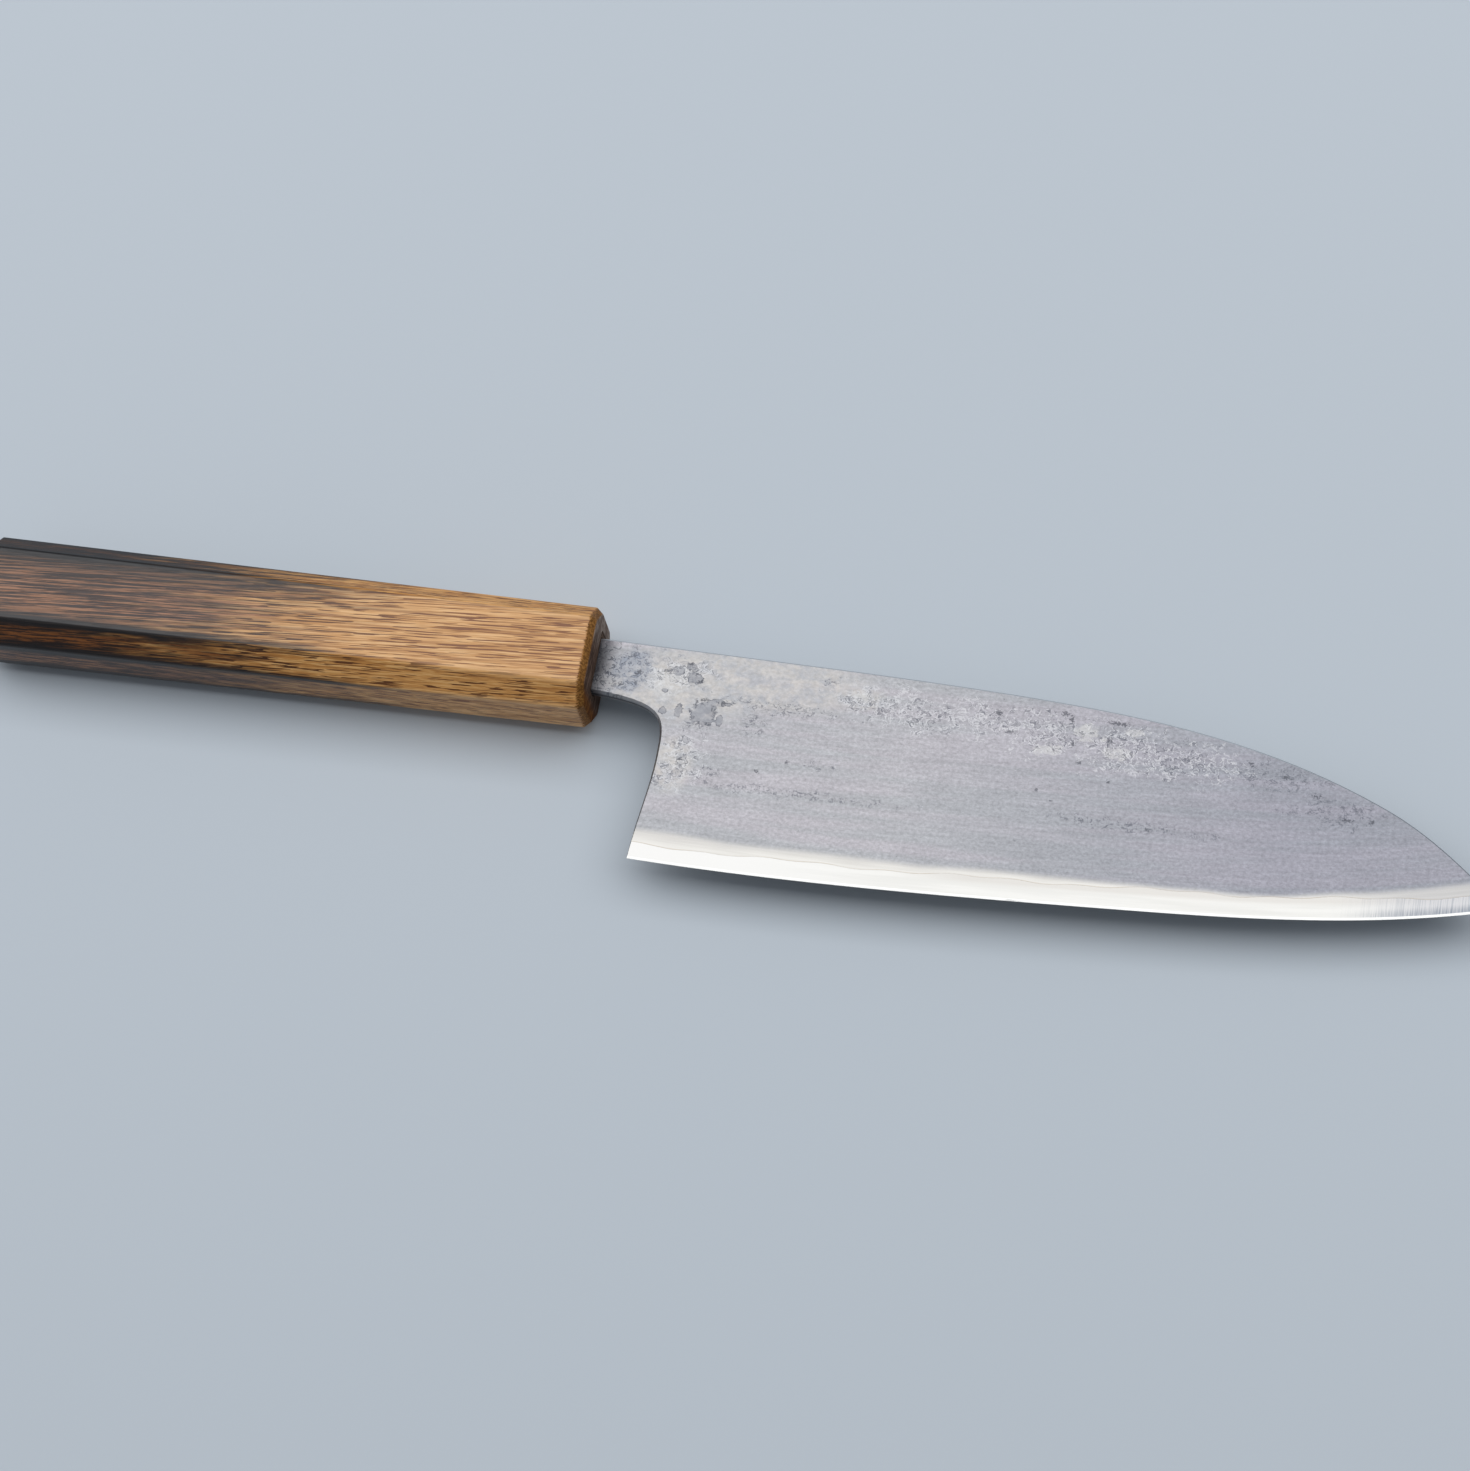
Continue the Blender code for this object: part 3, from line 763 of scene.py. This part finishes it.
# Near the tip the core is painted greyer, painted shade where it mirrors less of the soft box; the
# stone's scratches follow.
weight = add(tree, "Math", near_tip, 0.75, operation="MULTIPLY")
band = add(tree, "Mix", weight, band, colour("#969597"), data_type="RGBA")
scratch = add(tree, "MapRange", strokes, 0.45, 0.66, interpolation_type="SMOOTHSTEP")
scratch = add(tree, "Math", scratch, near_tip, operation="MULTIPLY")
weight = add(tree, "Math", scratch, 0.5, operation="MULTIPLY")
band = add(tree, "Mix", weight, band, colour("#74787D"), data_type="RGBA")
low = add(tree, "MapRange", up, 2.4, 0.7, interpolation_type="SMOOTHSTEP")
low = add(tree, "Math", low, near_tip, operation="MULTIPLY")
broken = add(tree, "MapRange", strokes, 0.35, 0.6, 0.2, 0.95)
low = add(tree, "Math", low, broken, operation="MULTIPLY")
band = add(tree, "Mix", low, band, colour("#686D74"), data_type="RGBA")
honed = add(tree, "MapRange", up, 0.52, 0.44)
band = add(tree, "Mix", honed, band, colour("#BDBCB9"), data_type="RGBA")
filed = add(tree, "MapRange", up, 5.2, 6.2)
share = add(tree, "MapRange", strokes, 0.3, 0.7)
grey = add(tree, "Mix", share, colour("#75767B"), colour("#88898D"), data_type="RGBA")
# Low in the notch behind the heel the filed grey is painted darker, painted shade in the recess.
notch_shade = add(tree, "MapRange", x, 90, 84)
below = add(tree, "MapRange", y, -2.0, -5.0)
notch_shade = add(tree, "Math", notch_shade, below, operation="MULTIPLY")
grey = add(tree, "Mix", notch_shade, grey, colour("#54565B"), data_type="RGBA")
band = add(tree, "Mix", filed, band, grey, data_type="RGBA")
rough = add(tree, "Mix", filed, 0.2, 0.4, data_type="FLOAT")
bump = add(tree, "Bump", Height=scratch, Strength=0.3, Distance=0.008 * MM)
shader.inputs["Metallic"].default_value = 1.0
connect(tree, band, shader.inputs["Base Color"])
connect(tree, rough, shader.inputs["Roughness"])
connect(tree, bump, shader.inputs["Normal"])
core.data.materials.append(material)
print(material.name, len(tree.nodes), "nodes")

# %% [markdown]
# ## Charred oak
#
# Oak has wide open pores that show as thin dark dashes some millimetres long. The handle was
# passed through a flame: its butt is nearly black, the colour fades to raw golden wood at the
# front, and the arrises stay dark longest. Then it was brushed and oiled, which gives a dull
# sheen. The slanting facets cut the pores lengthwise, so there the dashes are darker and the
# surface is duller. The wood and the char on them are also painted darker and more golden, painted
# shade for the light that falls less on those facets. The bar was sawn a few degrees off the grain.
# One stretched noise could stand for all of the grain, but rings, fibres and pores differ in
# size, so each has its own. Real fibres are too fine to show, so they are drawn as bundles nearly
# half a millimetre wide.

# %% Raw oak
GRAIN_TURN = math.radians(3.2)

material, tree, shader, place = new_material("Oak, charred, brushed and oiled")
x, y, z = add(tree, "SeparateXYZ", place).outputs
turned = add(tree, "Mapping", place, vector_type="TEXTURE", Rotation=(0, 0, GRAIN_TURN))
where = add(tree, "Mapping", turned, vector_type="TEXTURE", Scale=(45, 2.0, 2.4))
rings = add(tree, "TexNoise", where, Scale=1, Detail=3, Roughness=0.55)
where = add(tree, "Mapping", turned, vector_type="TEXTURE", Scale=(16, 0.42, 0.42))
fibres = add(tree, "TexNoise", where, Scale=1, Detail=3, Roughness=0.75)
where = add(tree, "Mapping", turned, vector_type="TEXTURE", Scale=(9, 0.3, 0.32))
pore_noise = add(tree, "TexNoise", where, Scale=1, Detail=1, Roughness=0.5)
where = add(tree, "Mapping", turned, vector_type="TEXTURE", Scale=(26, 1.2, 1.5))
flame = add(tree, "TexNoise", where, Scale=1, Detail=4, Roughness=0.65)

share = add(tree, "MapRange", rings, 0.35, 0.65, interpolation_type="SMOOTHSTEP")
wood = add(tree, "Mix", share, colour("#B98349"), colour("#CF9A60"), data_type="RGBA")
share = add(tree, "MapRange", fibres, 0.5, 0.62, 0.0, 0.7)
wood = add(tree, "Mix", share, wood, colour("#E6BC88"), data_type="RGBA")
share = add(tree, "MapRange", fibres, 0.5, 0.36, 0.0, 0.7)
wood = add(tree, "Mix", share, wood, colour("#8A5C36"), data_type="RGBA")
print("raw oak,", len(tree.nodes), "nodes so far")

# %% Pores
# How far the upper facet and the top of the side facets are from the middle, in millimetres.
UPPER_FACET = (handle_high.z - MIDDLE) / MM
SIDE_TOP = 4.8

height = add(tree, "Math", z, MIDDLE / MM, operation="SUBTRACT")
height = add(tree, "Math", height, operation="ABSOLUTE")
below_flat = add(tree, "MapRange", height, UPPER_FACET - 0.02, UPPER_FACET - 0.1)
above_side = add(tree, "MapRange", height, SIDE_TOP - 0.1, SIDE_TOP + 0.1)
slant = add(tree, "Math", below_flat, above_side, operation="MULTIPLY")
ring_pull = add(tree, "MapRange", rings, 0.35, 0.65, 0.02, -0.015)
level = add(tree, "Math", pore_noise, ring_pull, operation="ADD")
pores = add(tree, "MapRange", level, 0.57, 0.6, interpolation_type="SMOOTHSTEP")
smoked = add(tree, "MapRange", x, 40, -10, interpolation_type="SMOOTHSTEP")
dark_slant = add(tree, "Math", slant, 0.55, operation="MULTIPLY")
smoked = add(tree, "Math", smoked, dark_slant, operation="MAXIMUM")
pore_tint = add(tree, "Mix", smoked, colour("#7A4A27"), colour("#42260F"), data_type="RGBA")
wood = add(tree, "Mix", pores, wood, pore_tint, data_type="RGBA")
# The slanting facets are painted a little darker and more golden, painted shade for the light that
# falls less on them.
wood = add(tree, "Mix", slant, wood, colour("#F7F1DD"), data_type="RGBA", blend_type="MULTIPLY")
print("pores,", len(tree.nodes), "nodes so far")

# %% [markdown]
# The flame reached further on the sides and on the far half of the upper facet, and less far on
# the far slanting facet, so the border of the char is uneven. Brushing bared fine lighter fibres
# in it, most in the middle of a facet. The arrises stay black, widest and furthest forward on the
# sides, and in front, where there is no char, they are worn lighter than the wood.

# %% Char
streaky = add(tree, "MapRange", flame, 0.3, 0.7, -24, 24)
burnt = add(tree, "Math", x, streaky, operation="ADD")
across = add(tree, "Math", y, -1.3, operation="MULTIPLY")
burnt = add(tree, "Math", burnt, across, operation="ADD")
side_reach = add(tree, "MapRange", z, 15, 13, 0, -22)
burnt = add(tree, "Math", burnt, side_reach, operation="ADD")
slant_reach = add(tree, "MapRange", y, -5, 5, -6, 12)
slant_reach = add(tree, "Math", slant_reach, slant, operation="MULTIPLY")
burnt = add(tree, "Math", burnt, slant_reach, operation="ADD")
char = add(tree, "MapRange", burnt, 25, -31, interpolation_type="SMOOTHSTEP")
where = add(tree, "Mapping", turned, vector_type="TEXTURE", Scale=(20, 0.45, 0.45))
embers = add(tree, "TexNoise", where, Scale=1, Detail=4, Roughness=0.75)
share = add(tree, "MapRange", embers, 0.46, 0.59, interpolation_type="SMOOTHSTEP")
coal = add(tree, "Mix", share, colour("#2C1912"), colour("#9A6B4C"), data_type="RGBA")
# On the slanting facets the char is painted darker and browner, painted shade for the same reason.
coal = add(tree, "Mix", slant, coal, colour("#D8BC7C"), data_type="RGBA", blend_type="MULTIPLY")
away = add(tree, "Attribute", attribute_name="from_arris").outputs["Fac"]
deep = add(tree, "MapRange", away, 0.5, 4.0, 0.45, 1.0)
coal = add(tree, "Mix", 1.0, coal, deep, data_type="RGBA", blend_type="MULTIPLY")
deep = add(tree, "MapRange", y, 0.0, 8.0, 1.0, 0.4)
coal = add(tree, "Mix", 1.0, coal, deep, data_type="RGBA", blend_type="MULTIPLY")
wood = add(tree, "Mix", char, wood, coal, data_type="RGBA")
print("char,", len(tree.nodes), "nodes so far")

# %% Black and worn arrises
ragged = add(tree, "MapRange", flame, 0.3, 0.7, -0.45, 0.45)
away = add(tree, "Math", away, ragged, operation="ADD")
narrow = add(tree, "Math", slant, 0.2, operation="MULTIPLY")
away = add(tree, "Math", away, narrow, operation="ADD")
wide = add(tree, "MapRange", above_side, 0, 1, -0.5, 0)
away = add(tree, "Math", away, wide, operation="ADD")
width = add(tree, "MapRange", x, 20, -50, 0.0, 0.9)
inside = add(tree, "Math", width, away, operation="SUBTRACT")
arris = add(tree, "MapRange", inside, -1.0, 0.45, 0.0, 0.95, interpolation_type="SMOOTHSTEP")
shift = add(tree, "MapRange", z, 14.5, 14.1, 0, -12)
shift = add(tree, "Math", shift, x, operation="ADD")
fade = add(tree, "MapRange", shift, 30, -2, interpolation_type="SMOOTHSTEP")
arris = add(tree, "Math", arris, fade, operation="MULTIPLY")
wood = add(tree, "Mix", arris, wood, colour("#0D0A0B"), data_type="RGBA")
worn = add(tree, "MapRange", away, 1.1, 0.2, 0.0, 0.4, interpolation_type="SMOOTHSTEP")
share = add(tree, "MapRange", x, 24, 40)
worn = add(tree, "Math", worn, share, operation="MULTIPLY")
wood = add(tree, "Mix", worn, wood, colour("#D9AC78"), data_type="RGBA")
print("arrises,", len(tree.nodes), "nodes so far")

# %% [markdown]
# Across the end of the bar the pores are cut square, so the rim is darker and speckled, with a
# ragged border. The flat front is dark with soot and glue beside the blade, greyer towards the
# spine side and amber where the flame did not reach, below the edge side of the neck.

# %% Rim and front face
where = add(tree, "Mapping", place, vector_type="TEXTURE", Scale=(0.5, 0.5, 0.5))
dots = add(tree, "TexNoise", where, Scale=1, Detail=3, Roughness=0.6)
share = add(tree, "MapRange", dots, 0.4, 0.65, interpolation_type="SMOOTHSTEP")
end_wood = add(tree, "Mix", share, colour("#5F3E1A"), colour("#8C6130"), data_type="RGBA")
ragged = add(tree, "MapRange", fibres, 0.3, 0.7, -0.5, 0.5)
ragged = add(tree, "Math", x, ragged, operation="ADD")
rim = add(tree, "MapRange", ragged, WOOD_FRONT - 1.5, WOOD_FRONT - 1.1)
wood = add(tree, "Mix", rim, wood, end_wood, data_type="RGBA")
where = add(tree, "Mapping", place, vector_type="TEXTURE", Scale=(3, 3, 0.8))
stains = add(tree, "TexNoise", where, Scale=1, Detail=4, Roughness=0.65)
share = add(tree, "MapRange", stains, 0.42, 0.65, interpolation_type="SMOOTHSTEP")
front_wood = add(tree, "Mix", share, colour("#44332A"), colour("#6D584C"), data_type="RGBA")
grey_wood = add(tree, "Mix", share, colour("#66564D"), colour("#A0938A"), data_type="RGBA")
amber_wood = add(tree, "Mix", share, colour("#4A2A12"), colour("#7F5226"), data_type="RGBA")
share = add(tree, "MapRange", y, 1.5, 6.5, interpolation_type="SMOOTHSTEP")
front_wood = add(tree, "Mix", share, front_wood, grey_wood, data_type="RGBA")
share = add(tree, "MapRange", y, -6.5, -9.0, interpolation_type="SMOOTHSTEP")
front_wood = add(tree, "Mix", share, front_wood, amber_wood, data_type="RGBA")
front = add(tree, "MapRange", x, WOOD_FRONT - 0.2, WOOD_FRONT - 0.03)
wood = add(tree, "Mix", front, wood, front_wood, data_type="RGBA")
print("rim and front face,", len(tree.nodes), "nodes so far")

# %% Sheen and relief of the wood
rough = add(tree, "Mix", char, 0.48, 0.42, data_type="FLOAT")
rough = add(tree, "Mix", front, rough, 0.85, data_type="FLOAT")
sheen = add(tree, "Mix", slant, 0.55, 0.25, data_type="FLOAT")
sheen = add(tree, "Mix", rim, sheen, 0.1, data_type="FLOAT")
rise = add(tree, "Math", fibres, 0.4, operation="MULTIPLY")
rise = add(tree, "Math", rise, pores, operation="SUBTRACT")
bump = add(tree, "Bump", Height=rise, Strength=0.5, Distance=0.05 * MM)
connect(tree, wood, shader.inputs["Base Color"])
connect(tree, rough, shader.inputs["Roughness"])
connect(tree, sheen, shader.inputs["Specular IOR Level"])
connect(tree, bump, shader.inputs["Normal"])
handle.data.materials.append(material)
print(material.name, len(tree.nodes), "nodes")

# %% [markdown]
# ## Bedding resin and table
#
# The resin is dark and dull with a slight cloudiness, which a soft noise gives. The table is a
# plain painted board, the same all over, so its colour is set on the shader itself.

# %% Resin
material, tree, shader, place = new_material("Bedding resin, dark and cast")
where = add(tree, "Mapping", place, vector_type="TEXTURE", Scale=(1.2, 1.2, 1.2))
clouds = add(tree, "TexNoise", where, Scale=1, Detail=3)
share = add(tree, "MapRange", clouds, 0.35, 0.7, interpolation_type="SMOOTHSTEP")
tint = add(tree, "Mix", share, colour("#3F2F25"), colour("#5A483C"), data_type="RGBA")
connect(tree, tint, shader.inputs["Base Color"])
shader.inputs["Roughness"].default_value = 0.85
shader.inputs["Specular IOR Level"].default_value = 0.1
bedding.data.materials.append(material)
print(material.name, len(tree.nodes), "nodes")

# %% Table
TABLE_HALF = 1.5

bpy.ops.mesh.primitive_plane_add(size=2 * TABLE_HALF, location=(AIM.x, AIM.y, 0))
table = bpy.context.object
table.name = "table"
material = bpy.data.materials.new("Board, painted pale blue-grey")
material.use_nodes = True
shader = material.node_tree.nodes["Principled BSDF"]
shader.inputs["Base Color"].default_value = colour("#BBC3CB")
shader.inputs["Roughness"].default_value = 0.85
shader.inputs["Specular IOR Level"].default_value = 0.2
table.data.materials.append(material)
print("table", 2 * TABLE_HALF, "m wide in", material.name)

# %% [markdown]
# ## Light
#
# One long soft box hangs flat over the knife, mostly behind it and to the left. It gives the top
# facet of the handle its full colour, leaves the side towards the camera darker, and throws a
# short soft shadow in front of the edge. The steel mirrors it. Several small lamps could light
# the knife as well, but each would leave a spot of its own on the steel. A pale sky fills the
# shadows, and where it is seen, directly or mirrored, it is a plain grey like the table.

# %% Soft box
KEY_PLACE = (-1.1, 0.46, 1.3)
KEY_LENGTH = 6.0
KEY_WIDTH = 1.4
KEY_POWER = 46.0

bpy.ops.object.light_add(type="AREA", location=KEY_PLACE)
key = bpy.context.object
key.name = "soft_box"
key.data.shape = "RECTANGLE"
key.data.size = KEY_LENGTH
key.data.size_y = KEY_WIDTH
key.data.energy = KEY_POWER
print(key.name, KEY_LENGTH, "by", KEY_WIDTH, "m with", KEY_POWER, "W")

# %% Sky
FILL_STRENGTH = 0.33

world = bpy.data.worlds.new("studio")
bpy.context.scene.world = world
world.use_nodes = True
tree = world.node_tree
rays = add(tree, "LightPath").outputs
seen = add(tree, "Math", rays["Is Camera Ray"], rays["Is Glossy Ray"], operation="MAXIMUM")
seen = add(tree, "Math", seen, rays["Is Transmission Ray"], operation="MAXIMUM")
fill = add(tree, "Background", colour("#E8EEF5"), FILL_STRENGTH)
shown = add(tree, "Background", colour("#B8C0C9"), 1.0)
both = add(tree, "MixShader", seen, fill, shown)
connect(tree, both, tree.nodes["World Output"].inputs["Surface"])
bpy.context.scene.view_settings.view_transform = "Standard"
print(world.name, "sky,", len(tree.nodes), "nodes")
